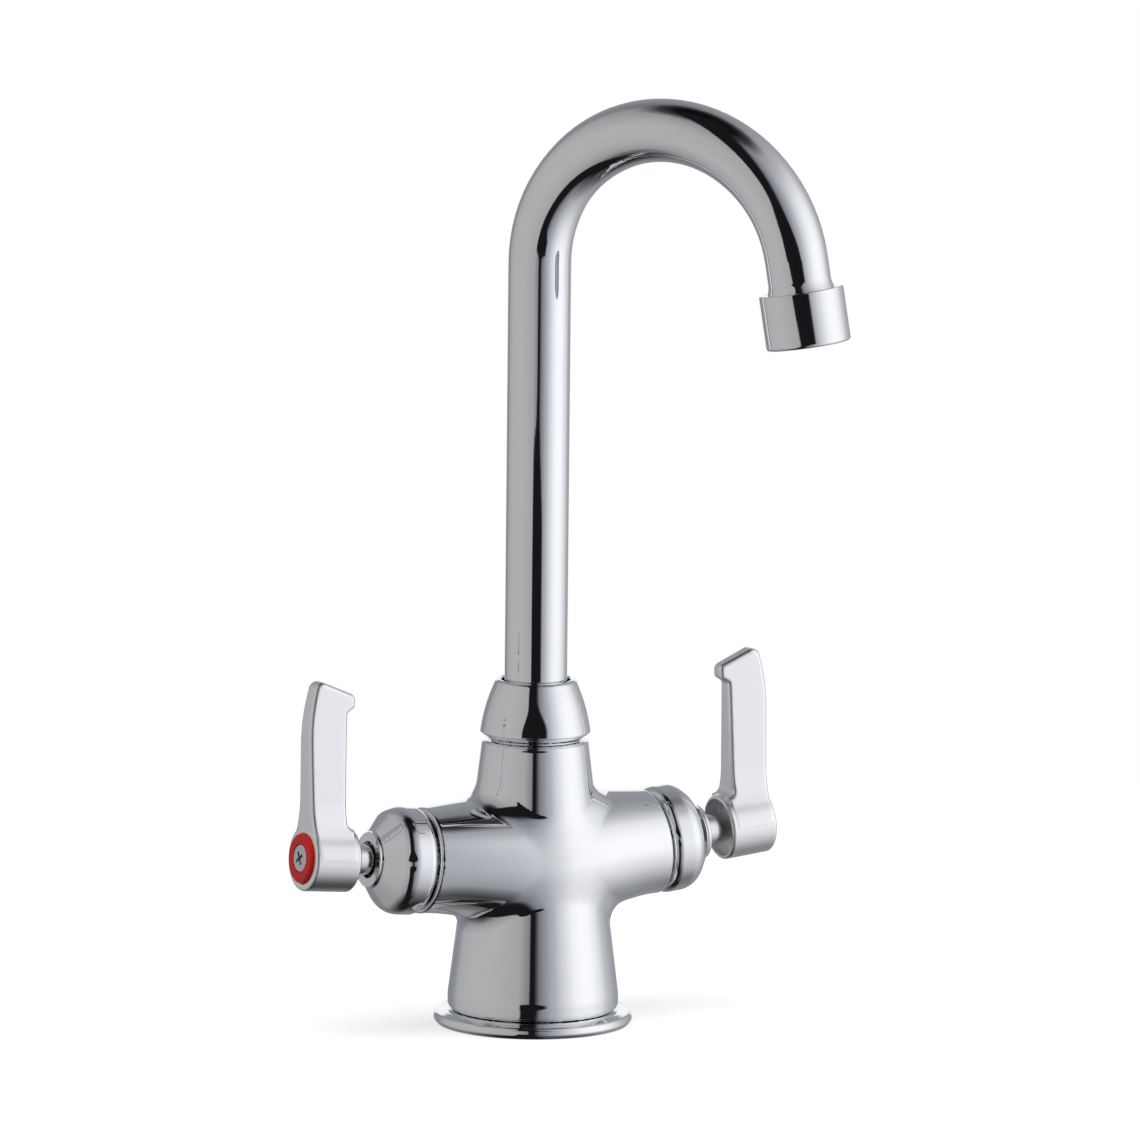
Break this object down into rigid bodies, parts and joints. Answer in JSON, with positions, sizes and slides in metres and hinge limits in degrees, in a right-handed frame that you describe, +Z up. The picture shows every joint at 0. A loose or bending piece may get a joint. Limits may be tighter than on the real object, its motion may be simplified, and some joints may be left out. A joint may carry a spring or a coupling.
{
  "type": "gooseneck faucet",
  "caption": "Two-handle deck faucet with a swivelling gooseneck spout, aerator and quarter-turn lever valves on a cross-shaped body.",
  "frame": {"origin": "centre of the base ring on the deck plane, under the spout riser", "axes": "+Z up along the riser, +X along the valves towards the cold handle, -Y towards the user"},
  "size_m": [0.1594, 0.1152, 0.2835],
  "materials": {
    "polished_chrome": "polished chrome plate on brass",
    "satin_chrome": "satin chrome plate on cast zinc",
    "nickel_brass": "turned nickel plated brass",
    "steel": "plain stainless steel",
    "raw_brass": "turned brass",
    "black_rubber": "moulded black rubber",
    "ceramic": "lapped white ceramic",
    "white_plastic": "moulded white plastic",
    "restrictor_plastic": "moulded green plastic",
    "hot_red": "red moulded ring",
    "cold_blue": "blue moulded ring"
  },
  "bodies": {
    "faucet_body": {"body": "polished_chrome", "base_ring": "polished_chrome", "base_gasket": "black_rubber", "spout_collar": "polished_chrome", "spout_thrust_washer": "white_plastic", "spout_friction_washer": "white_plastic", "hot_bonnet_nut": "polished_chrome", "hot_cartridge_body": "raw_brass", "hot_cartridge_seal": "black_rubber", "hot_fixed_disc": "ceramic", "hot_seat_seal": "black_rubber", "cold_bonnet_nut": "polished_chrome", "cold_cartridge_body": "raw_brass", "cold_cartridge_seal": "black_rubber", "cold_fixed_disc": "ceramic", "cold_seat_seal": "black_rubber"},
    "hot_handle": {"hot_lever": "satin_chrome", "hot_index_ring": "hot_red", "hot_handle_screw": "steel", "hot_stem": "nickel_brass", "hot_stem_o_ring": "black_rubber", "hot_stem_clip": "steel", "hot_moving_disc": "ceramic"},
    "cold_handle": {"cold_lever": "satin_chrome", "cold_index_ring": "cold_blue", "cold_handle_screw": "steel", "cold_stem": "nickel_brass", "cold_stem_o_ring": "black_rubber", "cold_stem_clip": "steel", "cold_moving_disc": "ceramic"},
    "spout": {"spout_tube": "polished_chrome", "spout_ferrule": "raw_brass", "spout_o_rings": "black_rubber", "spout_nose": "polished_chrome", "aerator_housing": "polished_chrome", "aerator_gasket": "black_rubber", "aerator_insert": "white_plastic", "aerator_screen": "steel", "flow_restrictor": "restrictor_plastic"}
  },
  "joints": [
    {"name": "spout_swivel", "type": "hinge", "parent": "faucet_body", "child": "spout", "pos_m": [0, 0, 0.09], "axis": [0, 0, 1], "continuous": true},
    {"name": "hot_handle_turn", "type": "hinge", "parent": "faucet_body", "child": "hot_handle", "pos_m": [0, 0, 0.0484], "axis": [0.9954, 0, -0.0958], "range_deg": [0, 90]},
    {"name": "cold_handle_turn", "type": "hinge", "parent": "faucet_body", "child": "cold_handle", "pos_m": [0, 0, 0.0484], "axis": [0.9954, 0, 0.0958], "range_deg": [0, 90]}
  ]
}
